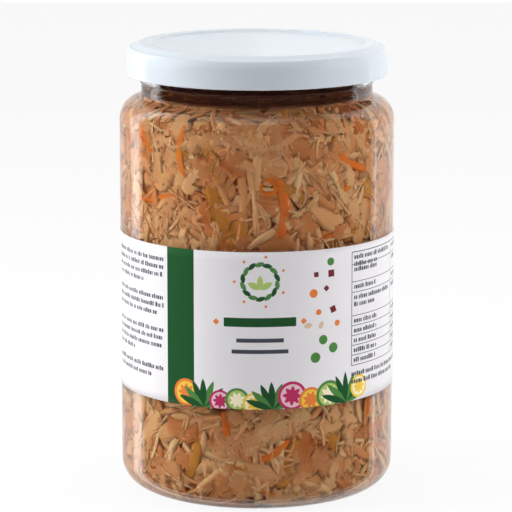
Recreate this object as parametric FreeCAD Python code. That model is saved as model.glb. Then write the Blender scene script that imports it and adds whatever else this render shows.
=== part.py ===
import FreeCAD, Part
import math
import os

# Glass jar with a twist-off cap, filled with shredded cabbage in brine.
# Millimetres. +Z is up, the origin is the centre of the foot, and the front of the label faces -Y.

# glass body
body_r = 44.5            # outside of the round body
body_top = 121.5         # height where the straight body ends and the shoulder starts
wall = 2.4               # glass in the body and shoulder
foot_in = 13.5           # the foot ring's outer edge lies this far inside the body
foot_ring = 3.5          # width of the flat ring that the jar stands on
push_up = 2.2            # height of the hollow under the base, on the axis
base_thick = 4.2         # glass on the axis
sole_r = 30.0            # large radius from the foot towards the heel
heel_r = 8.5             # tight radius from there into the body
shoulder_r = 7.5         # outside radius of the shoulder
shoulder_turn = 72.0     # degrees that the shoulder turns before it runs straight to the neck

# neck and mouth
neck_r = 37.4            # outside of the neck
neck_wall = 2.8
neck_fillet = 2.0        # hollow between shoulder and neck
bead_rise = 2.6          # root of the neck up to the ring that stands out below the cap
bead_tall = 3.2
bead_out = 0.5           # how far the ring stands out from the neck
groove_deep = 0.35       # undercut just below the ring
groove_tall = 0.5
rim_rise = 9.25          # top of that ring up to the rim
rim_round = 1.2          # rounding of the mouth, inside and outside

# thread leads on the neck, under the cap
lead_count = 6
lead_sweep = 46.0        # degrees round the neck
lead_tilt = 6.0          # degrees of slope
lead_out = 1.5           # how far a lead stands out
lead_root = 2.7          # height of a lead where it leaves the glass
lead_tip = 1.3           # height of a lead at its outer edge
lead_below_rim = 6.4     # rim to the middle of a lead

# cap
sheet = 0.35             # tinplate
skirt_clear = 3.15       # play between the leads and the inside of the skirt
skirt_lap = 0.7          # how far the skirt reaches down over the ring on the neck
curl_r = 0.75            # rolled lower edge
crown_wide = 3.2         # width of the raised ring that seals on the rim
crown_lap = 0.7          # how far the raised ring reaches out past the neck
crown_drop = 1.25        # raised ring down to the ledge on top of the skirt
ledge_out = 2.3          # raised ring out to the ledge
ledge = 0.6              # width of the ledge
corner_r = 5.3           # rounding of the skirt below the ledge
panel_drop = 0.9         # raised ring down to the sunk middle panel
panel_step = 1.0         # width of the slope between them

# contents
heap_below_root = 2.1    # root of the neck down to the mean level of the cabbage
heap_relief = 1.0        # how far its surface rises and falls
heap_grid = 9            # points each way that the surface is laid through
brine_below_rim = 7.25   # rim down to the level of the brine

# label
label_z = 35.0           # lower edge
label_tall = 50.4
label_thick = 0.15
label_gap = 9.0          # strip of bare glass between the two ends, at the back

full_turn = 360.0
foot_r = body_r - foot_in
bore_r = neck_r - neck_wall


def neck_root():
    """Height where the hollow above the shoulder meets the neck, on the outside."""
    turn = math.radians(shoulder_turn)
    arc_end_r = body_r - shoulder_r + shoulder_r * math.cos(turn)
    hollow_start_r = neck_r + neck_fillet * (1 - math.cos(turn))
    run = (arc_end_r - hollow_start_r) / math.sin(turn)
    return body_top + shoulder_r * math.sin(turn) + run * math.cos(turn) + neck_fillet * math.sin(turn)


root_z = neck_root()
bead_z = root_z + bead_rise
rim_z = bead_z + bead_tall + rim_rise
cap_top = rim_z + sheet          # the cap's raised ring rests on the mouth
heap_z = root_z - heap_below_root
brine_z = rim_z - brine_below_rim


def point(r, z):
    return FreeCAD.Vector(r, 0, z)


def on_arc(centre, radius, degrees):
    angle = math.radians(degrees)
    return centre + FreeCAD.Vector(radius * math.cos(angle), 0, radius * math.sin(angle))


class Outline:
    """A chain of lines and arcs in the half plane right of the axis."""

    def __init__(self, start):
        self.here = start
        self.edges = []

    def line(self, end):
        if (end - self.here).Length > 1e-6:
            self.edges.append(Part.LineSegment(self.here, end).toShape())
            self.here = end
        return self

    def arc(self, centre, radius, start_degrees, end_degrees):
        self.line(on_arc(centre, radius, start_degrees))
        middle = on_arc(centre, radius, (start_degrees + end_degrees) / 2)
        end = on_arc(centre, radius, end_degrees)
        self.edges.append(Part.Arc(self.here, middle, end).toShape())
        self.here = end
        return self

    def through(self, middle, end):
        self.edges.append(Part.Arc(self.here, middle, end).toShape())
        self.here = end
        return self

    def wire(self):
        return Part.Wire(self.edges)


def revolve(wire, degrees=full_turn):
    return Part.Face(wire).revolve(FreeCAD.Vector(0, 0, 0), FreeCAD.Vector(0, 0, 1), degrees)


def add_heel(outline, inset):
    """Sole and heel arcs, from the foot ring up to the body, moved in by inset."""
    sole_centre = point(foot_r, sole_r)
    reach = body_r - heel_r - foot_r
    heel_z = sole_r - math.sqrt((sole_r - heel_r) ** 2 - reach ** 2)
    heel_centre = point(body_r - heel_r, heel_z)
    meet = -math.degrees(math.acos(reach / (sole_r - heel_r)))
    outline.arc(sole_centre, sole_r - inset, -90, meet)
    outline.arc(heel_centre, heel_r - inset, meet, 0)


def add_shoulder(outline, inset, neck):
    """Shoulder arc, straight slope and hollow fillet up to a neck of the given radius."""
    turn = math.radians(shoulder_turn)
    centre = point(body_r - shoulder_r, body_top)
    outline.arc(centre, shoulder_r - inset, 0, shoulder_turn)
    hollow = neck_fillet + inset
    hollow_r = neck + hollow - hollow * math.cos(turn)
    run = (outline.here.x - hollow_r) / math.sin(turn)
    hollow_z = outline.here.z + run * math.cos(turn) + hollow * math.sin(turn)
    outline.arc(point(neck + hollow, hollow_z), hollow, 180 + shoulder_turn, 180)


def make_leads():
    """Short sloping ridges round the mouth, which the cap's lugs run under."""
    inner_r = neck_r - rim_round / 2
    outer_r = neck_r + lead_out
    middle_z = rim_z - lead_below_rim
    section = Outline(point(inner_r, middle_z - lead_root / 2))
    section.line(point(outer_r, middle_z - lead_tip / 2))
    section.line(point(outer_r, middle_z + lead_tip / 2))
    section.line(point(inner_r, middle_z + lead_root / 2))
    section.line(point(inner_r, middle_z - lead_root / 2))
    lead = revolve(section.wire(), lead_sweep)
    lead.rotate(FreeCAD.Vector(0, 0, 0), FreeCAD.Vector(0, 0, 1), -lead_sweep / 2)
    lead.rotate(point(0, middle_z), FreeCAD.Vector(1, 0, 0), lead_tilt)
    leads = []
    for number in range(lead_count):
        turned = lead.copy()
        place = (number + 0.5) * full_turn / lead_count
        turned.rotate(FreeCAD.Vector(0, 0, 0), FreeCAD.Vector(0, 0, 1), place)
        leads.append(turned)
    return leads


def make_jar():
    bead_r = neck_r + bead_out
    outside = Outline(point(0, push_up))
    ring_in = foot_r - foot_ring
    outside.through(point(ring_in * 0.55, push_up * 0.8), point(ring_in, 0))
    outside.line(point(foot_r, 0))
    add_heel(outside, 0)
    outside.line(point(body_r, body_top))
    add_shoulder(outside, 0, neck_r)
    outside.line(point(neck_r, bead_z - groove_tall - groove_deep))
    outside.line(point(neck_r - groove_deep, bead_z - groove_tall))
    outside.line(point(neck_r - groove_deep, bead_z))
    outside.line(point(neck_r, bead_z))
    outside.arc(point(neck_r, bead_z + bead_out), bead_out, -90, 0)
    outside.line(point(bead_r, bead_z + bead_tall - bead_out))
    outside.arc(point(neck_r, bead_z + bead_tall - bead_out), bead_out, 0, 90)
    outside.line(point(neck_r, rim_z - rim_round))
    outside.arc(point(neck_r - rim_round, rim_z - rim_round), rim_round, 0, 90)
    outside.arc(point(bore_r + rim_round, rim_z - rim_round), rim_round, 90, 180)
    outside.line(point(0, rim_z - rim_round))
    outside.line(point(0, push_up))
    solid = revolve(outside.wire())
    for lead in make_leads():
        solid = solid.fuse(lead)
    return solid.cut(make_hollow(rim_z))


def make_hollow(top):
    """The inside of the glass, from its floor up to the given height."""
    inside = Outline(point(0, push_up + base_thick))
    inside.through(point(foot_r * 0.55, base_thick + push_up * 0.35), point(foot_r, wall))
    add_heel(inside, wall)
    inside.line(point(body_r - wall, body_top))
    add_shoulder(inside, wall, bore_r)
    inside.line(point(bore_r, top))
    inside.line(point(0, top))
    inside.line(point(0, push_up + base_thick))
    return revolve(inside.wire())


def surface_height(x, y):
    """Height of the cabbage above its mean level, as a share of its relief."""
    return (0.5 * math.sin(0.08 * x + 0.5) * math.cos(0.09 * y)
            + 0.3 * math.sin(0.13 * y - 0.06 * x + 1.1)
            + 0.2 * math.cos(0.15 * x + 0.10 * y))


def space_above_heap():
    """Everything above the uneven top of the cabbage, up past the rim."""
    reach = body_r
    steps = [reach * (2 * i / (heap_grid - 1) - 1) for i in range(heap_grid)]
    rows = [[FreeCAD.Vector(x, y, heap_z + heap_relief * surface_height(x, y)) for y in steps] for x in steps]
    top = Part.BSplineSurface()
    top.interpolate(rows)
    return top.toShape().extrude(FreeCAD.Vector(0, 0, rim_z - heap_z + 2 * heap_relief))


def make_heap():
    """Cabbage with the brine between its shreds, face to face with the glass."""
    return make_hollow(rim_z).cut(space_above_heap())


def make_brine():
    """Clear brine that stands over the cabbage, up into the neck."""
    return make_hollow(brine_z).common(space_above_heap())


def make_label():
    outer_r = body_r + label_thick
    gap_degrees = math.degrees(label_gap / outer_r)
    section = Outline(point(body_r, label_z))
    section.line(point(outer_r, label_z))
    section.line(point(outer_r, label_z + label_tall))
    section.line(point(body_r, label_z + label_tall))
    section.line(point(body_r, label_z))
    paper = revolve(section.wire(), full_turn - gap_degrees)
    paper.rotate(FreeCAD.Vector(0, 0, 0), FreeCAD.Vector(0, 0, 1), 90 + gap_degrees / 2)
    return paper


def make_cap():
    cap_r = neck_r + lead_out + skirt_clear + sheet
    skirt_z = bead_z + bead_tall - skirt_lap
    crown_r = neck_r + crown_lap
    crown_in_r = crown_r - crown_wide
    ledge_in_r = crown_r + ledge_out
    ledge_z = cap_top - crown_drop
    panel_z = cap_top - panel_drop
    corner_in = cap_r - ledge_in_r - ledge
    corner_turn = math.degrees(math.acos(1 - corner_in / corner_r))
    corner_z = ledge_z - corner_r * math.sin(math.radians(corner_turn))
    outer = Outline(point(cap_r, skirt_z + curl_r))
    outer.line(point(cap_r, corner_z))
    outer.arc(point(cap_r - corner_r, corner_z), corner_r, 0, corner_turn)
    outer.line(point(ledge_in_r, ledge_z))
    outer.line(point(crown_r, cap_top))
    outer.line(point(crown_in_r, cap_top))
    outer.line(point(crown_in_r - panel_step, panel_z))
    outer.line(point(0, panel_z))
    skin = outer.wire().makeOffset2D(sheet, 2, True, True, False)
    shell = skin.revolve(FreeCAD.Vector(0, 0, 0), FreeCAD.Vector(0, 0, 1), full_turn)
    roll = Part.makeTorus(cap_r - curl_r, curl_r, point(0, skirt_z + curl_r))
    return shell.fuse(roll)


def save(name, shape):
    shape = shape.removeSplitter()
    solids = shape.Solids
    print(name, len(solids), "solid", round(sum(s.Volume for s in solids) / 1000, 2), "cm3",
          "valid" if shape.isValid() else "NOT VALID")
    solids[0].exportStep("parts/" + name + ".step")


os.makedirs("parts", exist_ok=True)
save("jar", make_jar())
save("sauerkraut", make_heap())
save("brine", make_brine())
save("label", make_label())
save("cap", make_cap())
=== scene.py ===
import bisect
import math
import random

import bpy
import bmesh
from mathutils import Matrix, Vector, noise
from mathutils.geometry import delaunay_2d_cdt


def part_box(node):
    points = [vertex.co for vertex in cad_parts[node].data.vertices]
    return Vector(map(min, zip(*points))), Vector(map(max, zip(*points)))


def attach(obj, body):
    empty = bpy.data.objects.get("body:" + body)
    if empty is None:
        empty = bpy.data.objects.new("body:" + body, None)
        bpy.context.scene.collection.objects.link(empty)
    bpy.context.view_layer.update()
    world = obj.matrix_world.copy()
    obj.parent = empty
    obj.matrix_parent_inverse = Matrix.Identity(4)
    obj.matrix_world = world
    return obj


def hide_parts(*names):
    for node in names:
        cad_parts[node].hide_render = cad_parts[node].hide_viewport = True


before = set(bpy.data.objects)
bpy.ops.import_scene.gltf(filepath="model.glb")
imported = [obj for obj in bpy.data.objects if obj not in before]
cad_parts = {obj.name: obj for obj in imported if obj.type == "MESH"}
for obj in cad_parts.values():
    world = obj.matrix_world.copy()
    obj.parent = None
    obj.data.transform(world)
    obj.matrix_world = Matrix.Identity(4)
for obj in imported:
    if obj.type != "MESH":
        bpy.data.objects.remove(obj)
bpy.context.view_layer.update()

mm = 0.001
poleRadius = 1e-7          # metres; a ring smaller than this is one point
scene = bpy.context.scene
scene.view_settings.view_transform = "Standard"

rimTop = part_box("jar")[1][2] / mm
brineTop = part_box("brine")[1][2] / mm
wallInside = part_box("sauerkraut")[1][0]
capLow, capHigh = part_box("cap")


# meshes and node trees

def linkObject(name, mesh):
    obj = bpy.data.objects.new(name, mesh)
    scene.collection.objects.link(obj)
    return obj


# turns the faces outwards and makes a mesh of them
def finishMesh(work, name, smooth=True):
    bmesh.ops.recalc_face_normals(work, faces=work.faces)
    if smooth:
        for face in work.faces:
            face.smooth = True
    mesh = bpy.data.meshes.new(name)
    work.to_mesh(mesh)
    work.free()
    return mesh


def arcPoints(centreR, centreZ, radius, startDegrees, endDegrees, steps):
    points = []
    for i in range(steps + 1):
        angle = math.radians(startDegrees + (endDegrees - startDegrees) * i / steps)
        points.append((centreR + radius * math.cos(angle), centreZ + radius * math.sin(angle)))
    return points


# the outline is a list of (radius, height); points on the axis become poles
def latheMesh(name, outline, segments, closed=False):
    work = bmesh.new()
    rings = []
    for radius, height in outline:
        if radius < poleRadius:
            rings.append([work.verts.new((0, 0, height))])
            continue
        ring = []
        for i in range(segments):
            turn = 2 * math.pi * i / segments
            ring.append(work.verts.new((radius * math.cos(turn), radius * math.sin(turn), height)))
        rings.append(ring)
    pairs = list(zip(rings[:-1], rings[1:]))
    if closed:
        pairs.append((rings[-1], rings[0]))
    for low, high in pairs:
        for i in range(segments):
            j = (i + 1) % segments
            if len(low) == 1 and len(high) == 1:
                continue
            if len(low) == 1:
                work.faces.new((low[0], high[j], high[i]))
            elif len(high) == 1:
                work.faces.new((low[i], low[j], high[0]))
            else:
                work.faces.new((low[i], low[j], high[j], high[i]))
    return finishMesh(work, name)


# what node() is given is a value for an input, or a socket to link to it
class NodeTree:

    def __init__(self, tree):
        self.tree = tree
        tree.nodes.clear()

    def node(self, kind, inputs=None, **settings):
        node = self.tree.nodes.new(kind)
        for key, value in settings.items():
            setattr(node, key, value)
        for key, value in (inputs or {}).items():
            if isinstance(value, bpy.types.NodeSocket):
                self.tree.links.new(value, node.inputs[key])
            else:
                node.inputs[key].default_value = value
        return node

    def shader(self, kind, inputs=None, **settings):
        return self.node("ShaderNode" + kind, inputs, **settings)

    def math(self, operation, first, second=0.0, third=0.0):
        return self.shader("Math", {0: first, 1: second, 2: third}, operation=operation).outputs[0]

    def mapped(self, value, **ends):
        names = dict(low="From Min", high="From Max", toLow="To Min", toHigh="To Max")
        inputs = {names[key]: end for key, end in ends.items()}
        return self.shader("MapRange", dict(inputs, Value=value)).outputs[0]

    # the name of the sockets of a two-sided mix is the same for numbers and colours
    def mixed(self, share, first, second, kind="RGBA"):
        return self.shader("Mix", {"Factor": share, "A": first, "B": second}, data_type=kind).outputs["Result"]

    def mixShaders(self, share, first, second):
        return self.shader("MixShader", {"Fac": share, 1: first.outputs[0], 2: second.outputs[0]})

    # noise by the piece's own coordinates, at lumps per metre
    def cloud(self, scale, detail):
        place = self.shader("TexCoord").outputs["Object"]
        return self.shader("TexNoise", {"Vector": place, "Scale": scale, "Detail": detail}).outputs["Fac"]

    def bump(self, height, strength, distance):
        inputs = {"Height": height, "Strength": strength, "Distance": distance}
        return self.shader("Bump", inputs).outputs["Normal"]


def newMaterial(name):
    material = bpy.data.materials.new(name)
    material.use_nodes = True
    return material, NodeTree(material.node_tree)


def srgb(red, green, blue):
    def channel(value):
        value = value / 255
        return value / 12.92 if value <= 0.04045 else ((value + 0.055) / 1.055) ** 2.4
    return (channel(red), channel(green), channel(blue), 1)


# two tones in soft clouds, over a fine grain of (scale, detail, strength, depth)
def paintMaterial(name, tones, cloudScale, grain, finish):
    material, tree = newMaterial(name)
    scale, detail, strength, depth = grain
    body = tree.shader("BsdfPrincipled", dict(finish, **{
        "Base Color": tree.mixed(tree.cloud(cloudScale, 3.0), *tones),
        "Normal": tree.bump(tree.cloud(scale, detail), strength, depth)}))
    tree.shader("OutputMaterial", {"Surface": body.outputs[0]})
    return material


# glass

glassShape = dict(
    bodyRadius=44.5, wall=2.4, footRadius=31.0, footRing=3.5, pushUp=2.2, baseThick=4.2,
    soleRadius=30.0, heelRadius=8.5, shoulderHeight=121.5, shoulderRadius=7.5, shoulderTurn=72.0,
    neckRadius=37.4, neckFillet=2.0, boreRadius=34.6, beadHeight=rimTop - 12.45, beadTall=3.2, beadOut=0.5,
    grooveDeep=0.35, grooveTall=0.5, rimRound=1.2, rimHeight=rimTop,
    leadCount=6, leadSweep=46.0, leadTilt=6.0, leadOut=1.5, leadHalf=0.95, leadBelowRim=6.4, leadSunk=0.15,
    leadSteps=24, leadRound=8, arcSteps=14, longest=6, segments=240,
)


def heelPoints(inset, steps):
    g = glassShape
    reach = g["bodyRadius"] - g["heelRadius"] - g["footRadius"]
    heelZ = g["soleRadius"] - math.sqrt((g["soleRadius"] - g["heelRadius"]) ** 2 - reach ** 2)
    meet = -math.degrees(math.acos(reach / (g["soleRadius"] - g["heelRadius"])))
    sole = arcPoints(g["footRadius"], g["soleRadius"], g["soleRadius"] - inset, -90, meet, steps // 2)
    heel = arcPoints(g["bodyRadius"] - g["heelRadius"], heelZ, g["heelRadius"] - inset, meet, 0, steps)
    return sole + heel[1:]


def shoulderPoints(inset, neck, steps):
    g = glassShape
    turn = math.radians(g["shoulderTurn"])
    arc = arcPoints(g["bodyRadius"] - g["shoulderRadius"], g["shoulderHeight"],
                    g["shoulderRadius"] - inset, 0, g["shoulderTurn"], steps)
    hollow = g["neckFillet"] + inset
    hollowR = neck + hollow - hollow * math.cos(turn)
    run = (arc[-1][0] - hollowR) / math.sin(turn)
    hollowZ = arc[-1][1] + run * math.cos(turn) + hollow * math.sin(turn)
    return arc + arcPoints(neck + hollow, hollowZ, hollow, 180 + g["shoulderTurn"], 180, steps // 2)


def parabola(centreHeight, edgeRadius, edgeHeight, steps):
    points = []
    for i in range(steps + 1):
        share = i / steps
        points.append((edgeRadius * share, centreHeight + (edgeHeight - centreHeight) * share ** 2))
    return points


# adds points so that no straight stretch is longer than this
def evenSteps(points, longest):
    result = [points[0]]
    for end in points[1:]:
        start = result[-1]
        count = max(1, math.ceil(math.dist(start, end) / longest))
        for i in range(1, count + 1):
            result.append(tuple(a + (b - a) * i / count for a, b in zip(start, end)))
    return result


# inner surface of the glass, from the middle of its floor up to the mouth
def insideOutline(steps):
    g = glassShape
    floor = parabola(g["pushUp"] + g["baseThick"], g["footRadius"], g["wall"], steps)
    wall = heelPoints(g["wall"], steps)
    shoulder = shoulderPoints(g["wall"], g["boreRadius"], steps)
    return floor + wall[1:] + shoulder


def outsideOutline(steps):
    g = glassShape
    ringIn = g["footRadius"] - g["footRing"]
    neck = g["neckRadius"]
    bead = neck + g["beadOut"]
    beadTop = g["beadHeight"] + g["beadTall"]
    points = parabola(g["pushUp"], ringIn, 0, steps)
    points += [(ringIn + 0.2, 0)] + heelPoints(0, steps)
    points += shoulderPoints(0, neck, steps)
    points += [(neck, g["beadHeight"] - g["grooveTall"] - g["grooveDeep"]),
               (neck - g["grooveDeep"], g["beadHeight"] - g["grooveTall"]),
               (neck - g["grooveDeep"], g["beadHeight"])]
    points += arcPoints(neck, g["beadHeight"] + g["beadOut"], g["beadOut"], -90, 0, 5)
    points += arcPoints(neck, beadTop - g["beadOut"], g["beadOut"], 0, 90, 5)
    rim = g["rimRound"]
    return points + arcPoints(neck - rim, g["rimHeight"] - rim, rim, 0, 90, 6)


def scaled(points):
    return [(radius * mm, height * mm) for radius, height in points]


def buildGlass():
    g = glassShape
    outside = outsideOutline(g["arcSteps"])
    rim = g["rimRound"]
    mouth = arcPoints(g["boreRadius"] + rim, g["rimHeight"] - rim, rim, 90, 180, 6)
    inside = list(reversed(insideOutline(g["arcSteps"])))
    outline = evenSteps(outside + mouth + inside, g["longest"])
    return linkObject("glassJar", latheMesh("glassJar", scaled(outline), g["segments"]))


# short sloping ridges that the cap turns onto
def buildLeads():
    g = glassShape
    work = bmesh.new()
    middle = g["rimHeight"] - g["leadBelowRim"]
    slope = math.tan(math.radians(g["leadTilt"]))
    last = g["leadRound"]
    for number in range(g["leadCount"]):
        centre = math.radians((number + 0.5) * 360 / g["leadCount"])
        rings = []
        for i in range(g["leadSteps"] + 1):
            share = i / g["leadSteps"] * 2 - 1
            turn = share * math.radians(g["leadSweep"] / 2)
            taper = math.sqrt(max(0.02, 1 - abs(share) ** 6))
            height = middle + turn * g["neckRadius"] * slope
            ring = []
            for k in range(last + 1):
                around = math.pi * (k / last - 0.5)
                radius = g["neckRadius"] - g["leadSunk"] + g["leadOut"] * taper * math.cos(around)
                z = height + g["leadHalf"] * taper * math.sin(around)
                ring.append(work.verts.new((radius * mm * math.cos(centre + turn),
                                            radius * mm * math.sin(centre + turn), z * mm)))
            rings.append(ring)
        for low, high in zip(rings[:-1], rings[1:]):
            for k in range(last):
                work.faces.new((low[k], high[k], high[k + 1], low[k + 1]))
            work.faces.new((low[last], high[last], high[0], low[0]))
        work.faces.new(rings[0])
        work.faces.new(rings[-1])
    return linkObject("threadLeads", finishMesh(work, "threadLeads"))


# a clear body that lets lamps through to what is inside; ripple is (deep, wide) and soak (colour, density)
def clearMaterial(name, tint, ior, ripple=None, soak=None):
    material, tree = newMaterial(name)
    body = {"Base Color": tint, "Roughness": 0.0, "IOR": ior, "Transmission Weight": 1.0}
    if ripple:
        body["Normal"] = tree.bump(tree.cloud(1 / ripple[1], 1.0), 1.0, ripple[0])
    path = tree.shader("LightPath").outputs
    either = tree.math("MAXIMUM", path["Is Shadow Ray"], path["Is Diffuse Ray"])
    through = tree.shader("BsdfTransparent", {"Color": (1, 1, 1, 1)})
    surface = tree.mixShaders(either, tree.shader("BsdfPrincipled", body), through)
    ends = {"Surface": surface.outputs[0]}
    if soak:
        ends["Volume"] = tree.shader("VolumeAbsorption", {"Color": soak[0], "Density": soak[1]}).outputs[0]
    tree.shader("OutputMaterial", ends)
    return material


glassMaterial = clearMaterial("clearGlass", (0.985, 0.995, 0.99, 1), 1.5, ripple=(0.00012, 0.022))
glass = buildGlass()
leads = buildLeads()
for piece in (glass, leads):
    piece.data.materials.append(glassMaterial)
print("glass done")


# brine

# it dips by the meniscus within a short way of the glass, through one bend (inwards, down)
brineShape = dict(
    intoWall=0.15, inFloor=0.15, meniscus=0.4, meniscusWide=2, meniscusBend=(0.6, 0.25), ior=1.34,
    tint=(1, 0.985, 0.95, 1), soak=((0.62, 0.42, 0.32, 1), 100.0),
)


# fills the glass from its floor up to a level in the neck, round and between the shreds
def buildBrine():
    b = brineShape
    outline = []
    previous = None
    for radius, height in insideOutline(glassShape["arcSteps"]):
        if height > brineTop:
            share = (brineTop - previous[1]) / (height - previous[1])
            outline.append((previous[0] + (radius - previous[0]) * share + b["intoWall"], brineTop))
            break
        low = height < glassShape["heelRadius"]
        outline.append((radius + (b["intoWall"] if radius else 0), height - (b["inFloor"] if low else 0)))
        previous = (radius, height)
    outline = evenSteps([(0, outline[0][1])] + outline[1:], glassShape["longest"])
    edge = outline[-1][0]
    flat = brineTop - b["meniscus"]
    bend, down = b["meniscusBend"]
    outline += [(edge - bend, brineTop - down), (edge - b["meniscusWide"], flat), (edge / 2, flat), (0, flat)]
    return linkObject("brine", latheMesh("brine", scaled(outline), glassShape["segments"]))


brine = buildBrine()
brine.data.materials.append(
    clearMaterial("brineLiquid", brineShape["tint"], brineShape["ior"], soak=brineShape["soak"]))
print("brine done")


# cabbage: the heap behind the shreds that can be seen

# it lies below the glass by this much, its surface moved by two sizes of lumps, each (per millimetre, share)
# its two colours are darker and redder than the shreds': painted shade for the gaps between them
coreShape = dict(
    below=1.5, relief=0.35, lumps=((0.16, 0.6), (0.45, 0.4)), segments=260, longest=2.2, seed=4, top=127.2,
    heapTop=128.6, hole=0.5, colours=(srgb(172, 84, 40), srgb(214, 118, 64)),
)


def buildCore():
    c = coreShape
    inner = []
    points = insideOutline(glassShape["arcSteps"])
    for i, point in enumerate(points):
        ahead = points[min(i + 1, len(points) - 1)]
        behind = points[max(i - 1, 0)]
        along = Vector((ahead[0] - behind[0], ahead[1] - behind[1])).normalized()
        radius = point[0] - along.y * c["below"]
        height = point[1] + along.x * c["below"]
        if height <= c["top"] and radius >= 0:
            inner.append((max(radius, 0), height))
    inner = [(0, inner[0][1])] + [p for p in inner if p[0] > c["hole"]]
    top = inner[-1]
    inner = evenSteps(inner, c["longest"])
    inner += evenSteps([top, (0, c["top"])], c["longest"])[1:]
    core = linkObject("cabbageCore", latheMesh("cabbageCore", scaled(inner), c["segments"]))
    noise.seed_set(c["seed"])
    for vertex in core.data.vertices:
        place = vertex.co / mm
        lift = sum(noise.noise(place * scale) * share for scale, share in c["lumps"])
        vertex.co += vertex.normal * lift * c["relief"] * mm
    return core


# cabbage, carrot and spice materials

wetIor = 1.05          # of what lies in the brine, against the brine

# reach is how far one piece may differ from the next; the two ends of the painted shade are in millimetres of
# brine: a piece is painted darker and redder, as shade and brine tint, the deeper it lies under the glass
shredLook = dict(
    roughness=0.45, softScale=0.0012, softRadius=(1.0, 0.55, 0.3), fibreScale=(0.09, 1.3, 7.0),
    patchScale=60.0, reach=0.12, reachByShade=0.44, reachByStreaks=0.12, paintedShadeFrom=0.4, paintedShadeTo=3.2,
    grain=(0.5, 0.00008),
)


# three colours (pale, middle, and a darker, redder one that is painted shade and brine tint); the tone comes
# from each piece's own shade (a tone of its own) and its fibres, and is painted darker the deeper the piece
# lies
def shredMaterial(name, colours, streaks, own, soft=0.25, alpha=1.0):
    look = shredLook
    pale, tan, paintedDeepShade = [srgb(*colour) for colour in colours]
    material, tree = newMaterial(name)
    kinds = ("shade", "fibre", "depth")
    shade, fibre, depth = [tree.shader("Attribute", attribute_name=kind) for kind in kinds]
    along = tree.shader("Mapping", {"Vector": fibre.outputs["Vector"], "Scale": look["fibreScale"]})
    lines = tree.shader("TexNoise", {
        "Vector": along.outputs[0], "Scale": 1.0, "Detail": 3.0, "Roughness": 0.6}).outputs["Fac"]
    total = 0.0
    for value, weight in ((lines, streaks), (shade.outputs["Fac"], own),
                          (tree.cloud(look["patchScale"], 2.0), 1.0)):
        total = tree.math("MULTIPLY_ADD", value, weight, total)
    middle = streaks / 2 + own / 2 + 0.5
    reach = look["reach"] + own * look["reachByShade"] + streaks * look["reachByStreaks"]
    tone = tree.mixed(tree.mapped(total, low=middle - reach, high=middle + reach), tan, pale)
    # painted shade and brine tint: the colour goes towards the darker third colour the deeper the piece lies
    # under the glass
    sunk = tree.mapped(depth.outputs["Fac"], low=look["paintedShadeFrom"], high=look["paintedShadeTo"])
    body = tree.shader("BsdfPrincipled", {
        "Base Color": tree.mixed(sunk, tone, paintedDeepShade), "Roughness": look["roughness"], "IOR": wetIor,
        "Alpha": alpha, "Subsurface Weight": soft, "Subsurface Scale": look["softScale"],
        "Subsurface Radius": look["softRadius"], "Normal": tree.bump(lines, *look["grain"])})
    tree.shader("OutputMaterial", {"Surface": body.outputs[0]})
    return material


# the third colour of each is the painted shade and brine tint that deep-lying pieces go to
materials = dict(
    cabbage=shredMaterial(
        "paleCabbage", [(255, 208, 152), (220, 126, 66), (172, 80, 34)], 0.9, 1.0, alpha=0.66),
    leaf=shredMaterial("thinLeaf", [(255, 200, 142), (210, 116, 58), (172, 80, 34)], 0.7, 1.1, alpha=0.6),
    olive=shredMaterial("oliveLeaf", [(222, 152, 72), (190, 114, 44), (144, 78, 26)], 0.5, 0.4, alpha=0.7),
    carrot=shredMaterial("carrotFlesh", [(246, 136, 48), (226, 90, 22), (184, 70, 18)], 0.3, 0.6, alpha=0.62),
    seed=shredMaterial("darkSeed", [(96, 76, 70), (62, 48, 44), (44, 30, 26)], 0.3, 0.3, soft=0.0),
)


# painted shade: the heap seen in the gaps between the shreds gets darker colours than the shreds themselves
def coreColours():
    material, tree = newMaterial("cabbageShadow")
    ramp = tree.shader("ValToRGB", {"Fac": tree.cloud(160.0, 4.0)})
    for stop, position, colour in zip(ramp.color_ramp.elements, (0.35, 0.65), coreShape["colours"]):
        stop.position = position
        stop.color = colour
    body = tree.shader("BsdfPrincipled", {
        "Base Color": ramp.outputs["Color"], "Roughness": 0.6, "IOR": wetIor})
    tree.shader("OutputMaterial", {"Surface": body.outputs[0]})
    return material


core = buildCore()
core.data.materials.append(coreColours())
print("core done")


# shapes that the scattered pieces are copied from

# how a strip narrows at its tips, waves, rolls, cups and frays
ribbonShape = dict(
    tip=0.3, tipRound=3.0, tipStart=0.02, waveRate=5.5, rollBy=0.16, rollRate=4, rollShift=1.7, cup=0.3,
    raggedRate=2.1, raggedTurn=3, farthest=90,
)


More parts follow.
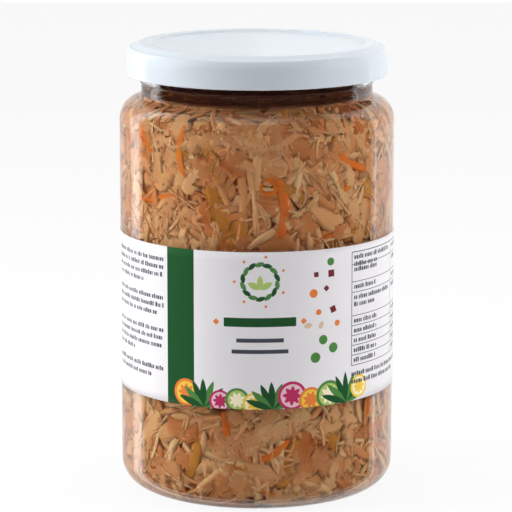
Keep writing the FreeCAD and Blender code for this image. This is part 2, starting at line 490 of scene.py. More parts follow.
# a strip lying flat: x along, y across, z its thickness, in millimetres, centred on the origin;
# bends are the turn per millimetre at its two ends
def ribbonMesh(name, draw, length, width, thick, stations, bends, wave, across=2, ragged=0.0):
    r = ribbonShape
    phase = draw.uniform(0, 6.3)
    offset = draw.uniform(0, r["farthest"])
    heading = -(bends[0] + bends[1]) * length / 4
    path = [Vector((0, 0, 0))]
    headings = [heading]
    step = length / (stations - 1)
    for i in range(1, stations):
        heading += (bends[0] + (bends[1] - bends[0]) * i / (stations - 1)) * step
        headings.append(heading)
        path.append(path[-1] + Vector((math.cos(heading) * step, math.sin(heading) * step, 0)))
    middle = sum(path, Vector()) / stations
    work = bmesh.new()
    fibre = work.verts.layers.float_vector.new("fibre")
    cup = draw.uniform(-r["cup"], r["cup"]) * thick * across
    rings = []
    for i, point in enumerate(path):
        share = i / (stations - 1)
        within = min(max(share, r["tipStart"]), 1 - r["tipStart"])
        fullness = min(1, r["tipRound"] * math.sin(math.pi * within))
        half = width / 2 * (r["tip"] + (1 - r["tip"]) * fullness)
        swing = share * r["waveRate"] + phase
        lift = wave * (math.sin(swing) + math.sin(2 * swing) / 2)
        roll = r["rollBy"] * math.sin(share * r["rollRate"] + phase * r["rollShift"])
        side = Vector((-math.sin(headings[i]), math.cos(headings[i]), 0))
        ring = []
        for top in (1, -1):
            for k in range(across + 1):
                place = (k / across * 2 - 1) * top
                if abs(place) == 1 and top == -1:
                    continue
                notch = math.sin(i * r["raggedRate"] + place * r["raggedTurn"] + phase)
                edge = half * place * (1 + ragged * notch)
                z = (lift + roll * edge + cup * (1 - place * place)
                     + top * thick / 2 * math.sqrt(max(0.0, 1 - abs(place) ** 3)))
                vertex = work.verts.new(((point - middle) + side * edge + Vector((0, 0, z))) * mm)
                vertex[fibre] = Vector((share * length, edge, offset))
                ring.append(vertex)
        rings.append(ring)
    count = len(rings[0])
    for low, high in zip(rings[:-1], rings[1:]):
        for k in range(count):
            work.faces.new((low[k], low[(k + 1) % count], high[(k + 1) % count], high[k]))
    work.faces.new(rings[0])
    work.faces.new(list(reversed(rings[-1])))
    return finishMesh(work, name)


# the shapes that a kind of piece is copied from
def shapeCollection(name, shape):
    draw = random.Random(shape["seed"])
    collection = bpy.data.collections.new(name + "Shapes")
    for i in range(shape["kinds"]):
        bend = draw.uniform(-shape["curl"], shape["curl"])
        length, width, thick = [draw.uniform(*shape[key]) for key in ("length", "width", "thick")]
        bends = (bend, draw.uniform(-0.4, 1) * bend)
        mesh = ribbonMesh(name + str(i), draw, length, width, thick, shape["stations"], bends, shape["wave"],
                          shape["across"], shape["ragged"])
        collection.objects.link(bpy.data.objects.new(name + str(i), mesh))
    return collection


# trees that scatter the shapes against the glass, or in a flat layer

class ScatterTree(NodeTree):

    def __init__(self, name, inputs):
        NodeTree.__init__(self, bpy.data.node_groups.new(name, "GeometryNodeTree"))
        self.tree.is_modifier = True
        sockets = self.tree.interface
        sockets.new_socket(name="Geometry", in_out="OUTPUT", socket_type="NodeSocketGeometry")
        for label, kind in inputs:
            sockets.new_socket(name=label, in_out="INPUT", socket_type="NodeSocket" + kind)
        self.enter = self.node("NodeGroupInput").outputs

    def geometry(self, kind, inputs=None, **settings):
        return self.node("GeometryNode" + kind, inputs, **settings).outputs[0]

    def times(self, first, second):
        return self.math("MULTIPLY", first, second)

    def vector(self, x, y, z):
        return self.shader("CombineXYZ", {0: x, 1: y, 2: z}).outputs[0]

    def split(self, vector):
        return self.shader("SeparateXYZ", {0: vector}).outputs

    def random(self, low, high, seed):
        inputs = {2: low, 3: high, "Seed": seed}
        return self.node("FunctionNodeRandomValue", inputs, data_type="FLOAT").outputs[1]

    def store(self, geometry, name, value, domain):
        inputs = {"Geometry": geometry, "Name": name, "Value": value}
        return self.geometry("StoreNamedAttribute", inputs, data_type="FLOAT", domain=domain)


commonInputs = [("Shapes", "Collection"), ("Material", "Material"), ("Count", "Int"), ("Seed", "Int")] + [
    (label, "Float") for label in (
        "Depth Least", "Depth Most", "Size Least", "Size Most", "Lean", "Wall Radius", "Clear")]
seedStep = 10          # between the seeds of one piece's own values
nearMiddle = 0.0001    # metres; nothing is divided by a smaller distance
mostShapes = 997       # a shape is picked by a number up to this, counted round


# shapes on points, whose flat place in x and y comes from spread(seeds), each turned, sized and given a shade;
# returned with where every vertex is and how far under the glass it lies, never nearer than clear
def scatterStart(tree, spread):
    enter = tree.enter
    seeds = [tree.math("ADD", enter["Seed"], float(seedStep * k)) for k in range(1, 10)]
    x, y = spread(seeds)
    depth = tree.random(enter["Depth Least"], enter["Depth Most"], seeds[0])
    place = tree.vector(x, y, tree.times(depth, -1.0))
    points = tree.geometry("Points", {"Count": enter["Count"], "Position": place})
    shapes = tree.geometry("CollectionInfo", {
        "Collection": enter["Shapes"], "Separate Children": True, "Reset Children": True})
    lean = enter["Lean"]
    less = tree.times(lean, -1.0)
    turn = tree.vector(tree.random(less, lean, seeds[4]), tree.random(less, lean, seeds[5]),
                       tree.random(0.0, 2 * math.pi, seeds[6]))
    turned = tree.node("FunctionNodeEulerToRotation", {0: turn}).outputs[0]
    size = tree.random(enter["Size Least"], enter["Size Most"], seeds[7])
    pick = tree.node("FunctionNodeRandomValue", {4: 0, 5: mostShapes, "Seed": seeds[3]}, data_type="INT")
    copies = tree.geometry("InstanceOnPoints", {
        "Points": points, "Instance": shapes, "Pick Instance": True, "Instance Index": pick.outputs[2],
        "Rotation": turned, "Scale": tree.vector(size, size, 1.0)})
    shaded = tree.store(copies, "shade", tree.random(0.0, 1.0, seeds[8]), "INSTANCE")
    here = tree.split(tree.geometry("InputPosition"))
    inward = tree.math("MAXIMUM", tree.times(here[2], -1.0), enter["Clear"])
    return tree.geometry("RealizeInstances", {0: shaded}), here, inward


def scatterEnd(tree, flat, place, inward):
    sunk = tree.store(flat, "depth", tree.math("DIVIDE", inward, mm), "POINT")
    moved = tree.geometry("SetPosition", {"Geometry": sunk, "Position": place})
    smooth = tree.geometry("SetShadeSmooth", {"Geometry": moved})
    painted = tree.geometry("SetMaterial", {"Geometry": smooth, "Material": tree.enter["Material"]})
    tree.node("NodeGroupOutput", {0: painted})
    return tree.tree


# lays shapes out flat, u round the jar and v up its wall, then wraps them onto the inside of the glass
def wallTree():
    tree = ScatterTree("packAgainstGlass", commonInputs + [
        ("Wall Line", "Object"), ("Low", "Float"), ("High", "Float")])
    enter = tree.enter
    radius = enter["Wall Radius"]

    def spread(seeds):
        reach = tree.times(radius, math.pi)
        along = tree.random(tree.times(reach, -1.0), reach, seeds[1])
        return along, tree.random(enter["Low"], enter["High"], seeds[2])

    flat, here, inward = scatterStart(tree, spread)
    line = tree.node("GeometryNodeObjectInfo", {"Object": enter["Wall Line"]}).outputs["Geometry"]
    sample = tree.node("GeometryNodeSampleCurve", {"Curves": line, "Length": here[1]}, mode="LENGTH",
                       use_all_curves=True)
    onLine = tree.split(sample.outputs["Position"])
    along = tree.split(sample.outputs["Tangent"])
    r = tree.math("SUBTRACT", onLine[0], tree.times(inward, along[2]))
    z = tree.math("ADD", onLine[2], tree.times(inward, along[0]))
    turn = tree.math("DIVIDE", here[0], radius)
    x = tree.times(r, tree.math("SINE", turn))
    y = tree.times(tree.times(r, tree.math("COSINE", turn)), -1.0)
    return scatterEnd(tree, flat, tree.vector(x, y, z), inward)


# lays shapes in a round layer, on the floor of the glass or on top of the heap
def layerTree():
    tree = ScatterTree("layLayer", commonInputs + [("Level", "Float"), ("Dome", "Float"), ("Up", "Float")])
    enter = tree.enter
    radius = enter["Wall Radius"]

    def spread(seeds):
        turn = tree.random(0.0, 2 * math.pi, seeds[1])
        far = tree.times(tree.math("SQRT", tree.random(0.0, 1.0, seeds[2])), radius)
        return tree.times(far, tree.math("SINE", turn)), tree.times(far, tree.math("COSINE", turn))

    flat, here, inward = scatterStart(tree, spread)
    far = tree.math("SQRT", tree.math("ADD", tree.times(here[0], here[0]), tree.times(here[1], here[1])))
    shrink = tree.math("MINIMUM", tree.math("DIVIDE", radius, tree.math("MAXIMUM", far, nearMiddle)), 1.0)
    share = tree.math("MINIMUM", tree.math("DIVIDE", far, radius), 1.0)
    dome = tree.times(enter["Dome"], tree.math("SUBTRACT", 1.0, tree.times(share, share)))
    base = tree.math("ADD", enter["Level"], dome)
    z = tree.math("SUBTRACT", base, tree.times(inward, enter["Up"]))
    place = tree.vector(tree.times(here[0], shrink), tree.times(here[1], shrink), z)
    return scatterEnd(tree, flat, place, inward)


# runs a tree on an empty object and keeps the result as a plain mesh
def growPiece(name, group, values):
    piece = linkObject(name, bpy.data.meshes.new(name))
    modifier = piece.modifiers.new("scatter", "NODES")
    modifier.node_group = group
    for item in group.interface.items_tree:
        if item.item_type == "SOCKET" and item.in_out == "INPUT" and item.name in values:
            modifier[item.identifier] = values[item.name]
    depsgraph = bpy.context.evaluated_depsgraph_get()
    mesh = bpy.data.meshes.new_from_object(piece.evaluated_get(depsgraph), preserve_all_data_layers=True,
                                           depsgraph=depsgraph)
    piece.modifiers.clear()
    piece.data = mesh
    mesh.name = name
    print(name, len(mesh.polygons), "faces")
    return piece


# the inside of the glass as (radius, height), from near the middle of the floor up to the top of the heap
wallStart, wallLongest = 20, 4
wallPoints = [p for p in evenSteps(insideOutline(glassShape["arcSteps"]), wallLongest)
              if p[0] > wallStart and p[1] <= coreShape["heapTop"]]
wallLengths = [0]
for before, after in zip(wallPoints[:-1], wallPoints[1:]):
    wallLengths.append(wallLengths[-1] + math.dist(before, after))


def wallLine():
    data = bpy.data.curves.new("wallLine", "CURVE")
    data.dimensions = "3D"
    spline = data.splines.new("POLY")
    spline.points.add(len(wallPoints) - 1)
    for point, (radius, height) in zip(spline.points, wallPoints):
        point.co = (radius * mm, 0, height * mm, 1)
    return linkObject("wallLine", data)


line = wallLine()
againstGlass = wallTree()
inLayer = layerTree()

contents = dict(
    longShreds=dict(material="cabbage", count=1250, seed=3, kinds=14, length=(14, 30), width=(1.8, 3.4),
                    thick=(0.16, 0.26), stations=10, curl=0.11, wave=0.10, across=2, ragged=0.06,
                    depth=(0.35, 1.3), size=(0.8, 1.15), lean=0.04),
    fineShreds=dict(material="cabbage", count=1300, seed=5, kinds=14, length=(8, 20), width=(0.8, 1.5),
                    thick=(0.14, 0.22), stations=9, curl=0.22, wave=0.10, across=2, ragged=0.0,
                    depth=(0.28, 0.8), size=(0.8, 1.2), lean=0.06),
    wideLeaves=dict(material="leaf", count=880, seed=7, kinds=16, length=(9, 21), width=(4.5, 10.0),
                    thick=(0.12, 0.2), stations=12, curl=0.05, wave=0.14, across=4, ragged=0.22,
                    depth=(0.28, 0.85), size=(0.75, 1.15), lean=0.04),
    oliveLeaves=dict(material="olive", count=60, seed=9, kinds=6, length=(12, 24), width=(4.0, 7.0),
                     thick=(0.16, 0.22), stations=9, curl=0.03, wave=0.15, across=4, ragged=0.08,
                     depth=(0.35, 0.9), size=(0.75, 1.1), lean=0.04),
    carrotSticks=dict(material="carrot", count=70, seed=17, kinds=10, length=(6, 16), width=(1.5, 2.6),
                      thick=(0.8, 1.2), stations=9, curl=0.10, wave=0.15, across=2, ragged=0.0,
                      depth=(0.75, 1.4), size=(0.8, 1.1), lean=0.04),
)
layers = dict(
    Floor=dict(level=3.0, dome=3.4, up=-1.0, radius=36.0, share=0.13),
    Top=dict(level=coreShape["heapTop"], dome=0.0, up=1.0, radius=35.5, share=0.10),
)
clearOfGlass = 0.25
layerSeed = 100

pieces = []
for name, kind in contents.items():
    shared = {"Shapes": shapeCollection(name, kind), "Material": materials[kind["material"]],
              "Depth Least": kind["depth"][0] * mm, "Depth Most": kind["depth"][1] * mm,
              "Size Least": kind["size"][0], "Size Most": kind["size"][1], "Lean": kind["lean"],
              "Clear": clearOfGlass * mm}
    pieces.append(growPiece(name, againstGlass, dict(shared, **{
        "Count": kind["count"], "Seed": kind["seed"], "Wall Radius": wallInside, "Wall Line": line, "Low": 0.0,
        "High": wallLengths[-1] * mm})))
    for layerName, layer in layers.items():
        pieces.append(growPiece(name + layerName, inLayer, dict(shared, **{
            "Count": int(kind["count"] * layer["share"]), "Seed": kind["seed"] + layerSeed,
            "Level": layer["level"] * mm, "Dome": layer["dome"] * mm, "Up": layer["up"],
            "Wall Radius": layer["radius"] * mm})))
bpy.data.objects.remove(line)
print("scattered contents done")


# the pieces that lie plainly against the glass in front: degrees round from the front, height, length,
# width, degrees of slope, bends at both ends, depth behind the glass, and their own shade
frontPieces = dict(
    carrotFront=("carrot", 0.8, [
        (10.8, 99, 19, 3.4, -84, (-0.05, -0.05), 0.42, 0.5),
        (4.8, 105.6, 13.5, 1.8, 30, (0.44, 0.44), 0.4, 0.8),
        (-55, 118, 10.5, 3.2, -48, (0, 0.05), 0.44, 0.9),
        (-33.5, 115.5, 17, 3.3, -78, (-0.02, 0.14), 0.44, 0.8),
        (-48.5, 100, 19, 2.8, 4, (0.02, 0.03), 0.42, 0.7),
        (-44.5, 95.2, 12, 1.9, 6, (0.02, 0.03), 0.62, 0.5),
        (44.5, 111.4, 13.5, 2.8, -28, (0.05, 0.02), 0.5, 0.8),
        (41.5, 103.5, 3, 2.6, 20, (0, 0), 0.45, 0.9),
        (30, 88, 9, 2.4, 12, (0.03, 0), 0.6, 0.5),
        (-13.7, 29.4, 8.2, 3, 96, (0.02, 0.04), 0.42, 0.5),
        (-42, 13.2, 5, 2.8, 100, (0, 0), 0.45, 0.5),
        (8, 20.8, 10.5, 2.8, 36, (0.02, 0.02), 0.48, 0.5),
        (55.6, 30.8, 6.5, 2.4, 76, (0, 0.04), 0.5, 0.6),
        (62, 98, 9, 2, 70, (0.03, 0.02), 0.55, 0.6),
        (112, 104, 15, 2.6, 20, (0.05, 0.02), 0.5, 0.7),
        (-118, 22, 13, 2.5, -35, (0.03, 0.06), 0.5, 0.6),
        (170, 108, 14, 2.6, 60, (0.04, 0.02), 0.5, 0.7),
        (-150, 98, 12, 2.4, -20, (0.03, 0.05), 0.5, 0.6)]),
    oliveFront=("olive", 0.4, [
        (-17.5, 104, 26, 7.2, 97, (0.02, -0.02), 0.36, 0.4),
        (-9, 89, 12, 6.4, 84, (0, 0.02), 0.38, 0.6),
        (14, 16.5, 16, 6, 60, (0.02, 0), 0.6, 0.4),
        (-28, 17, 12, 5, 75, (0.02, 0), 0.6, 0.6)]),
    leafFront=("leaf", 0.35, [
        (-24.5, 109, 16.5, 6, 47, (0.01, 0.01), 0.42, 1),
        (-19.5, 88.6, 12, 5.6, 78, (0, 0.01), 0.42, 0.95),
        (-42, 109.5, 15, 8, 62, (0.01, 0.02), 0.45, 0.7),
        (-31, 121, 17, 7.5, 18, (0.02, 0.01), 0.45, 0.8),
        (-56, 91, 16, 6.5, 80, (0.01, 0), 0.45, 0.9),
        (1, 113, 18, 7, -20, (0.02, 0), 0.5, 0.6),
        (24, 110, 19, 8, 35, (0.01, 0.02), 0.45, 0.8),
        (33, 94, 18, 7, -42, (0.02, 0), 0.45, 0.7),
        (50, 92, 15, 6.5, 74, (0.01, 0.01), 0.45, 0.7),
        (14, 93.5, 13, 5, 30, (0.03, 0), 0.5, 0.6),
        (28, 27.5, 18, 7.5, 14, (0.01, 0.02), 0.45, 0.8),
        (-38, 27, 16, 6, 40, (0.02, 0.02), 0.45, 0.7),
        (-4, 14, 17, 7, -12, (0.02, 0.01), 0.5, 0.6),
        (-49, 112, 14, 7, 100, (0.02, 0.01), 0.4, 0.9),
        (-62, 104, 17, 7.5, 84, (0.01, 0.02), 0.4, 1),
        (6, 120.5, 16, 7.5, 8, (0.01, 0.02), 0.45, 0.7),
        (39, 117, 15, 7, -16, (0.02, 0.01), 0.4, 0.9),
        (-35, 92.5, 15, 7.5, 30, (0.02, 0.01), 0.45, 0.75),
        (-52, 24, 15, 7, 64, (0.01, 0.02), 0.4, 0.9),
        (12, 29, 18, 8, 20, (0.02, 0.01), 0.45, 0.85),
        (44, 20, 15, 6.5, 66, (0.02, 0.01), 0.45, 0.8)]),
    seedFront=("seed", 1.6, [
        (-29.7, 125.2, 2.7, 2, 32, (0, 0), 1.05, 0.5),
        (-8, 117.5, 1.2, 1.1, 0, (0, 0), 0.8, 0.8),
        (38, 121, 1.3, 1.2, 0, (0, 0), 0.95, 0.8)]),
)


frontRibbon = dict(stations=16, wave=0.08, across=4, ragged=0.05)


# from flat (round, up, depth) in millimetres to the inside of the glass
def onWall(u, v, depth):
    k = min(max(bisect.bisect(wallLengths, v), 1), len(wallPoints) - 1)
    low = Vector(wallPoints[k - 1])
    along = (Vector(wallPoints[k]) - low).normalized()
    spot = low + along * (v - wallLengths[k - 1])
    radius = spot.x - along.y * depth
    height = spot.y + along.x * depth
    turn = u * mm / wallInside
    return Vector((radius * math.sin(turn), -radius * math.cos(turn), height)) * mm


def buildFrontPieces(name, thick, places):
    draw = random.Random(name)
    work = bmesh.new()
    for degrees, height, length, width, slope, bends, depth, shade in places:
        flat = ribbonMesh("flat", draw, length, width, thick, bends=bends, **frontRibbon)
        low = len(work.verts)
        work.from_mesh(flat)
        bpy.data.meshes.remove(flat)
        stored = work.verts.layers.float
        shadeLayer = stored.get("shade") or stored.new("shade")
        depthLayer = stored.get("depth") or stored.new("depth")
        work.verts.ensure_lookup_table()
        k = next(i for i, p in enumerate(wallPoints) if p[1] > height)
        level = wallLengths[k] - (wallPoints[k][1] - height)
        middle = math.radians(degrees) * wallInside / mm
        cos, sin = math.cos(math.radians(slope)), math.sin(math.radians(slope))
        for vertex in work.verts[low:]:
            x, y, z = vertex.co / mm
            sunk = max(depth - z, clearOfGlass)
            vertex.co = onWall(middle + x * cos - y * sin, level + x * sin + y * cos, sunk)
            vertex[shadeLayer] = shade
            vertex[depthLayer] = sunk
    return linkObject(name, finishMesh(work, name, smooth=False))


for name, (material, thick, places) in frontPieces.items():
    piece = buildFrontPieces(name, thick, places)
    piece.data.materials.append(materials[material])
    pieces.append(piece)
print("front pieces done")


# cap

capShape = dict(
    radius=42.4, skirt=capLow[2] / mm, top=capHigh[2] / mm, sheet=0.35, curl=0.75, rollClear=0.2, crown=38.1,
    crownInside=34.9, crownDrop=1.25, ledgeRadius=40.4, ledge=0.6, corner=5.3, panelDrop=0.9, panelStep=1.0,
    round=0.35, slope=0.35, longest=5,
    tones=(srgb(202, 211, 219), srgb(211, 219, 226)),
)


# replaces each inner corner of a line with a short curve
def roundedCorners(points, radius, steps):
    result = [points[0]]
    for before, corner, after in zip(points[:-2], points[1:-1], points[2:]):
        corner, before, after = Vector(corner), Vector(before), Vector(after)
        toBefore, toAfter = before - corner, after - corner
        reach = min(radius, toBefore.length * 0.45, toAfter.length * 0.45)
        start = corner + toBefore.normalized() * reach
        end = corner + toAfter.normalized() * reach
        for i in range(steps + 1):
            t = i / steps
            spot = start * (1 - t) ** 2 + corner * 2 * t * (1 - t) + end * t ** 2
            result.append((spot.x, spot.y))
    return result + [points[-1]]


def capOutline(inset):
    c = capShape
    ledgeZ = c["top"] - c["crownDrop"]
    ledgeOut = c["ledgeRadius"] + c["ledge"]
    turn = math.degrees(math.acos(1 - (c["radius"] - ledgeOut) / c["corner"]))
    cornerZ = ledgeZ - c["corner"] * math.sin(math.radians(turn))
    skirt = arcPoints(c["radius"] - c["corner"], cornerZ, c["corner"] - inset, 0, turn, 10)
    slope = inset * c["slope"]
    panelR = c["crownInside"] - c["panelStep"] + slope
    panelZ = c["top"] - c["panelDrop"] - inset
    top = [(ledgeOut, ledgeZ - inset), (c["ledgeRadius"] - slope, ledgeZ - inset),
           (c["crown"] - slope, c["top"] - inset), (c["crownInside"] + slope, c["top"] - inset),
           (panelR, panelZ), (0, panelZ)]
    return skirt[:-1] + roundedCorners(top, c["round"], 4)


def buildCap():
    c = capShape
    outer = [(c["radius"], c["skirt"] + c["curl"] + c["rollClear"])] + capOutline(0)
    inner = list(reversed(capOutline(c["sheet"])))
    roll = arcPoints(c["radius"] - c["curl"], c["skirt"] + c["curl"], c["curl"], 50, 358, 26)
    outline = roll + evenSteps(outer, c["longest"]) + evenSteps(inner, c["longest"])
    return linkObject("capShell", latheMesh("capShell", scaled(outline), glassShape["segments"], closed=True))


cap = buildCap()
enamel = {"Roughness": 0.26, "Coat Weight": 0.3, "Coat Roughness": 0.10}
cap.data.materials.append(
    paintMaterial("whiteEnamel", capShape["tones"], 45.0, (900.0, 1.0, 0.35, 0.00004), enamel))
print("cap done")


# label: paper with its print, laid out flat in millimetres from the middle of the front and from its foot

labelShape = dict(
    radius=44.65, thick=0.13, foot=35.0, tall=50.4, gap=9.0, gridAlong=1.5, gridUp=3.0, darkTone=0.94,
    leastArea=0.01, meetWithin=1e-4,
)
inks = dict(
    paper=(236, 233, 237), leafGreen=(27, 89, 43), textGrey=(74, 78, 90), orange=(236, 128, 52),
    grassGreen=(78, 140, 66), maroon=(122, 38, 48), beige=(222, 196, 160), paleGreen=(178, 204, 110),
    magenta=(196, 34, 96), pink=(238, 196, 208), yellow=(246, 204, 62), cream=(250, 240, 206),
)
printShapes = []          # (ink, outline) in the order that they are printed


def printShape(ink, x, y, turn, flat):
    c, s = math.cos(turn), math.sin(turn)
    printShapes.append((ink, [(x + px * c - py * s, y + px * s + py * c) for px, py in flat]))


def disc(ink, x, y, across, tall=None, turn=0.0, sides=20):
    angles = [2 * math.pi * i / sides for i in range(sides)]
    tall = tall or across
    printShape(ink, x, y, turn, [(math.cos(a) * across / 2, math.sin(a) * tall / 2) for a in angles])


def bar(ink, x, y, wide, tall, turn=0.0):
    corners = ((-1, -1), (1, -1), (1, 1), (-1, 1))
    printShape(ink, x, y, turn, [(px * wide / 2, py * tall / 2) for px, py in corners])


def leaf(ink, x, y, long, wide, turn, steps=9):
    shares = [(i / steps, 1) for i in range(steps)] + [(1 - i / steps, -1) for i in range(steps)]
    printShape(ink, x, y, turn, [(share * long, side * wide / 2 * math.sin(math.pi * share) ** 0.8)
                                 for share, side in shares])


# lines of small blocks, grouped like words, that say nothing
def blockLines(draw, left, right, top, rows, pitch, tall, lastShare=1.0):
    for row in range(rows):
        end = right if row < rows - 1 else left + (right - left) * lastShare
        x = left
        word = draw.randint(2, 8)
        while x < end:
            wide = draw.choice((0.45, 0.6, 0.6, 0.75, 0.9))
            rise = draw.choice((0, 0, 0, 0.3))
            if x + wide > end:
                break
            bar("textGrey", x + wide / 2, top - row * pitch + rise / 2 * tall, wide, tall * (1 + rise))
            x += wide + 0.22
            word -= 1
            if word == 0:
                x += 0.55
                word = draw.randint(2, 8)


sliceInks = dict(
    carrot=("orange", "yellow", "orange"), radish=("magenta", "pink", "magenta"),
    round=("grassGreen", "paleGreen", "cream"), lemon=("yellow", "cream", "yellow"),
)


def layOutPrint():
    draw = random.Random(21)
    tall = labelShape["tall"]
    # the front: a green band, a wreath, a title rule and plain lines
    bar("leafGreen", -25.6, tall / 2, 10.1, tall + 2)
    for i in range(14):
        turn = 2 * math.pi * i / 14
        x, y = 1.0 + 6.2 * math.cos(turn), 41.0 + 6.2 * math.sin(turn)
        leaf("grassGreen" if i % 2 else "leafGreen", x, y, 3.4, 1.5, turn + math.pi / 2 + 0.55)
        if i % 2:
            disc("orange", 1.0 + 8.1 * math.cos(turn), 41.0 + 8.1 * math.sin(turn), 0.9)
    for turn in (0.5, 1.57, 2.64):
        leaf("paleGreen", 1.0, 38.6, 4.4, 2.0, turn)
    bar("leafGreen", 1.0, 28.0, 23.0, 2.9)
    for side in (-1, 1):
        bar("orange", 1.0 + side * 14.0, 28.0, 1.5, 1.5, math.pi / 4)
    bar("textGrey", 1.0, 22.2, 15.0, 1.3)
    bar("textGrey", 1.0, 18.6, 18.0, 1.3)
    # loose dots beside them
    placed = []
    kinds = ("orange", "grassGreen", "maroon", "beige", "grassGreen", "maroon", "orange")
    while len(placed) < 13:
        x, y = draw.uniform(16.5, 27.5), draw.uniform(14.5, 46.5)
        if all(math.dist((x, y), other) > 3.6 for other in placed):
            kind = kinds[len(placed) % len(kinds)]
            size = draw.uniform(1.7, 3.4)
            if kind == "maroon":
                bar(kind, x, y, size * 0.8, size * 0.8, draw.uniform(0, 1.5))
            elif kind == "beige":
                disc(kind, x, y, size, size * 0.65, draw.uniform(0, 3))
            else:
                disc(kind, x, y, size)
            placed.append((x, y))
    # slices and leaves along the foot
    x = -27.5
    order = "carrot sprig radish round lemon sprig radish carrot round sprig lemon"
    for kind in order.split():
        size = draw.uniform(6.4, 8.6)
        y = draw.uniform(1.5, 5.0)
        middle = x + size / 2
        if kind == "sprig":
            for turn in (0.35, 0.8, 1.2, 1.6, 2.0, 2.4, 2.8):
                leaf("leafGreen" if int(turn * 10) % 3 else "grassGreen", middle, 0.0, size * 1.25, 2.2, turn)
        else:
            rind, flesh, heart = sliceInks[kind]
            disc(rind, middle, y, size * 1.1, sides=28)
            disc(flesh, middle, y, size * 0.88, sides=26)
            for i in range(8):
                turn = 2 * math.pi * i / 8 + x
                leaf(heart, middle, y, size * 0.38, size * 0.17, turn)
        x += size * 0.80
    # the left panel
    for top, rows, last in ((46.0, 4, 0.7), (33.5, 3, 0.9), (23.0, 4, 0.5), (10.5, 2, 0.8)):
        blockLines(draw, -62.0, -32.2, top, rows, 2.55, 1.15, last)
    # the ruled table on the right
    left, right, top, foot = 33.0, 72.0, 48.2, 11.5
    for x in (left, right - 14, right):
        bar("textGrey", x, (top + foot) / 2, 0.28, top - foot)
    heights = [4.0, 5.6, 3.4, 7.6, 3.2, 3.2, 3.2, 3.2, 3.3]
    y = top
    bar("textGrey", (left + right) / 2, y, right - left + 0.28, 0.28)
    for height in heights:
        lines = max(1, round(height / 2.6) - (1 if height > 5 else 0))
        blockLines(draw, left + 1.0, right - 16, y - 1.75, lines, 2.3, 1.15, 0.55)
        blockLines(draw, right - 12.5, right - 2.0, y - 1.75, 1, 2.3, 1.15, 0.8)
        y -= height
        bar("textGrey", (left + right) / 2, y, right - left + 0.28, 0.22)
    blockLines(draw, left, right, 8.6, 2, 2.5, 1.15, 0.7)
    # the back, plainly
    for band, left, right, rows in ((84.0, 90.0, 124.0, 8), (-84.0, -124.0, -92.0, 6)):
        bar("leafGreen", band, tall / 2, 4.0, tall + 2)
        blockLines(draw, left, right, 42.0, rows, 2.6, 1.15, 0.6)


# the part of an outline between the foot and the top of the label, always turning the same way
def clipToLabel(outline):
    for level, sign in ((0.0, 1), (labelShape["tall"], -1)):
        kept = []
        for before, after in zip([outline[-1]] + outline[:-1], outline):
            insideBefore = (before[1] - level) * sign >= 0
            insideAfter = (after[1] - level) * sign >= 0
            if insideBefore != insideAfter:
                share = (level - before[1]) / (after[1] - before[1])
                kept.append((before[0] + (after[0] - before[0]) * share, level))
            if insideAfter:
                kept.append(after)
        outline = kept
        if len(outline) < 3:
            return []
    area = sum(a[0] * b[1] - b[0] * a[1] for a, b in zip([outline[-1]] + outline[:-1], outline))
    if abs(area) < labelShape["leastArea"]:
        return []
    return outline if area > 0 else outline[::-1]


def buildLabel():
    shape = labelShape
    radius = shape["radius"]
    half = math.pi * radius - shape["gap"] / 2
    tall = shape["tall"]
    points, edges, faces, shapeInk = [], [], [], []

    def addPoint(x, y):
        points.append(Vector((x, y)))
        return len(points) - 1

    columns = math.ceil(2 * half / shape["gridAlong"])
    rows = math.ceil(tall / shape["gridUp"])
    for i in range(columns + 1):
        x = -half + 2 * half * i / columns
        edges.append((addPoint(x, 0), addPoint(x, tall)))
    for j in range(rows + 1):
        y = tall * j / rows
        edges.append((addPoint(-half, y), addPoint(half, y)))
    for ink, outline in printShapes:
        clipped = clipToLabel(outline)
        if clipped:
            faces.append([addPoint(x, y) for x, y in clipped])
            shapeInk.append(ink)
    result = delaunay_2d_cdt(points, edges, faces, 0, shape["meetWithin"])
    places, triangles, origins = result[0], result[2], result[5]
    order = list(inks)
    work = bmesh.new()
    made = []
    for place in places:
        turn = place.x / radius
        made.append(work.verts.new((radius * mm * math.sin(turn), -radius * mm * math.cos(turn),
                                    (shape["foot"] + place.y) * mm)))
    for triangle, origin in zip(triangles, origins):
        face = work.faces.new([made[i] for i in triangle])
        face.material_index = order.index(shapeInk[max(origin)]) if origin else 0
        face.smooth = True
    bmesh.ops.delete(work, geom=[v for v in work.verts if not v.link_faces], context="VERTS")
    shell = bmesh.ops.extrude_face_region(work, geom=list(work.faces))
    for item in shell["geom"]:
        if isinstance(item, bmesh.types.BMVert):
            away = Vector((item.co.x, item.co.y, 0)).normalized()
            item.co -= away * shape["thick"] * mm
    return linkObject("paperLabel", finishMesh(work, "paperLabel", smooth=False))


layOutPrint()
label = buildLabel()
inkFinish = {"Roughness": 0.42, "IOR": 1.45}
for name, ink in inks.items():
    colour = srgb(*ink)
    dark = tuple(c * labelShape["darkTone"] for c in colour[:3]) + (1,)
    name = "print" + name[0].upper() + name[1:]
    label.data.materials.append(
        paintMaterial(name, (dark, colour), 60.0, (1500.0, 2.0, 0.25, 0.00003), inkFinish))
print("label done", len(label.data.polygons))


# floor, light and camera

roomShape = dict(
    cameraAway=940.0, cameraHeight=258.0, cameraTilt=10.98, lens=205.7, shift=-0.00176,
    floorSize=3000.0, floorColour=(0.86, 0.86, 0.86, 1), floorGlow=0.9,
)


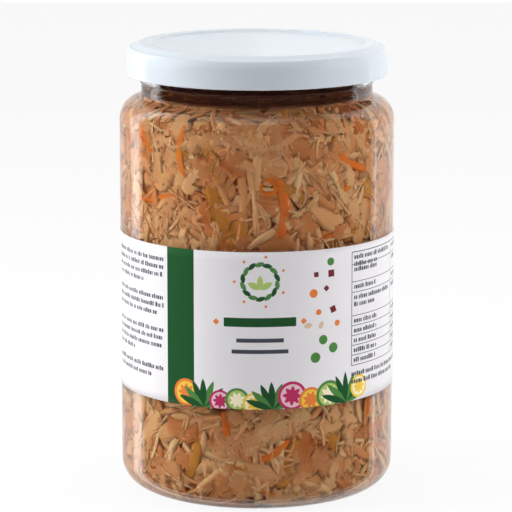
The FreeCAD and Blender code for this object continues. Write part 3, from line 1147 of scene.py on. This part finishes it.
def buildFloor():
    half = roomShape["floorSize"] / 2 * mm
    mesh = bpy.data.meshes.new("floor")
    corners = [(-half, -half, 0), (half, -half, 0), (half, half, 0), (-half, half, 0)]
    mesh.from_pydata(corners, [], [(0, 1, 2, 3)])
    floor = linkObject("floor", mesh)
    material, tree = newMaterial("paleFloor")
    matt = tree.shader("BsdfDiffuse", {"Color": roomShape["floorColour"]})
    glow = tree.shader("Emission", {"Color": (1, 1, 1, 1), "Strength": 1.0})
    looked = tree.shader("LightPath").outputs["Is Camera Ray"]
    surface = tree.mixShaders(tree.math("MULTIPLY", looked, roomShape["floorGlow"]), matt, glow)
    tree.shader("OutputMaterial", {"Surface": surface.outputs[0]})
    # mirrored and refracted rays see the room instead
    floor.visible_glossy = False
    floor.visible_transmission = False
    mesh.materials.append(material)


# levels round the room by degrees from the viewer, anticlockwise from above: backdrop, side panels, open front
roomLight = dict(
    round=((-180, 0.75), (-132, 0.75), (-130, 2.4), (-117, 2.4), (-115, 0), (115, 0), (116, 2.2), (119, 2.2),
           (120, 1), (180, 1)),
    most=4.0, front=0.06, frontMirrored=0.03, panelsLighting=0.6, ceiling=1.0, ceilingStart=0.90,
    ceilingEnd=0.95,
)


# plain white where it is looked at straight
def buildRoomLight():
    r = roomLight
    scene.world = bpy.data.worlds.new("room")
    scene.world.use_nodes = True
    tree = NodeTree(scene.world.node_tree)
    place = tree.shader("TexCoord").outputs["Generated"]
    parts = tree.shader("SeparateXYZ", {0: place}).outputs
    angle = tree.math("ARCTAN2", parts["X"], tree.math("MULTIPLY", parts["Y"], -1.0))
    ring = tree.shader("FloatCurve", {"Value": tree.math("MULTIPLY_ADD", angle, 0.5 / math.pi, 0.5)})
    points = ring.mapping.curves[0].points
    while len(points) < len(r["round"]):
        points.new(0.5, 0.5)
    for point, (degrees, level) in zip(points, r["round"]):
        point.location = (degrees / 360 + 0.5, level / r["most"])
        point.handle_type = "VECTOR"
    ring.mapping.update()
    path = tree.shader("LightPath").outputs
    front = tree.mapped(path["Is Diffuse Ray"], toLow=r["frontMirrored"], toHigh=r["front"])
    scale = tree.mapped(path["Is Diffuse Ray"], toLow=r["most"], toHigh=r["most"] * r["panelsLighting"])
    sides = tree.math("MAXIMUM", tree.math("MULTIPLY", ring.outputs[0], scale), front)
    above = tree.mapped(parts["Z"], low=r["ceilingStart"], high=r["ceilingEnd"])
    level = tree.mixed(above, sides, r["ceiling"], kind="FLOAT")
    room = tree.shader("Background", {"Color": level, "Strength": 1.0})
    seen = tree.shader("Background", {"Color": (1, 1, 1, 1), "Strength": 1.0})
    surface = tree.mixShaders(path["Is Camera Ray"], room, seen)
    tree.shader("OutputWorld", {"Surface": surface.outputs[0]})


lamps = dict(
    leftPanel=dict(place=(-700, -60, 400), aim=(0, 0, 80), size=(500, 700), power=6.8),
    rightPanel=dict(place=(700, -120, 380), aim=(0, 0, 80), size=(500, 600), power=4.3),
    topPanel=dict(place=(0, 0, 900), aim=(0, 0, 0), size=(700, 700), power=1.5),
)


def buildLamps():
    for name, panel in lamps.items():
        data = bpy.data.lights.new(name, "AREA")
        data.shape = "RECTANGLE"
        data.size = panel["size"][0] * mm
        data.size_y = panel["size"][1] * mm
        data.energy = panel["power"]
        lamp = linkObject(name, data)
        place = Vector(panel["place"])
        lamp.location = place * mm
        lamp.rotation_euler = (Vector(panel["aim"]) - place).to_track_quat("-Z", "Y").to_euler()
        lamp.visible_glossy = False
        lamp.visible_transmission = False


def buildCamera():
    r = roomShape
    data = bpy.data.cameras.new("camera")
    data.lens = r["lens"]
    data.sensor_width = 36
    data.shift_x = r["shift"]
    camera = linkObject("camera", data)
    camera.location = (0, -r["cameraAway"] * mm, r["cameraHeight"] * mm)
    camera.rotation_euler = (math.radians(90 - r["cameraTilt"]), 0, 0)
    scene.camera = camera


buildFloor()
buildRoomLight()
buildLamps()
buildCamera()
print("room done")


# what each piece rides on and stands for

def settle(piece, node):
    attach(piece, "root")
    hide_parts(node)


settle(glass, "jar")
settle(leads, "jar")
settle(brine, "brine")
settle(core, "sauerkraut")
for piece in pieces:
    settle(piece, "sauerkraut")
settle(cap, "cap")
settle(label, "label")
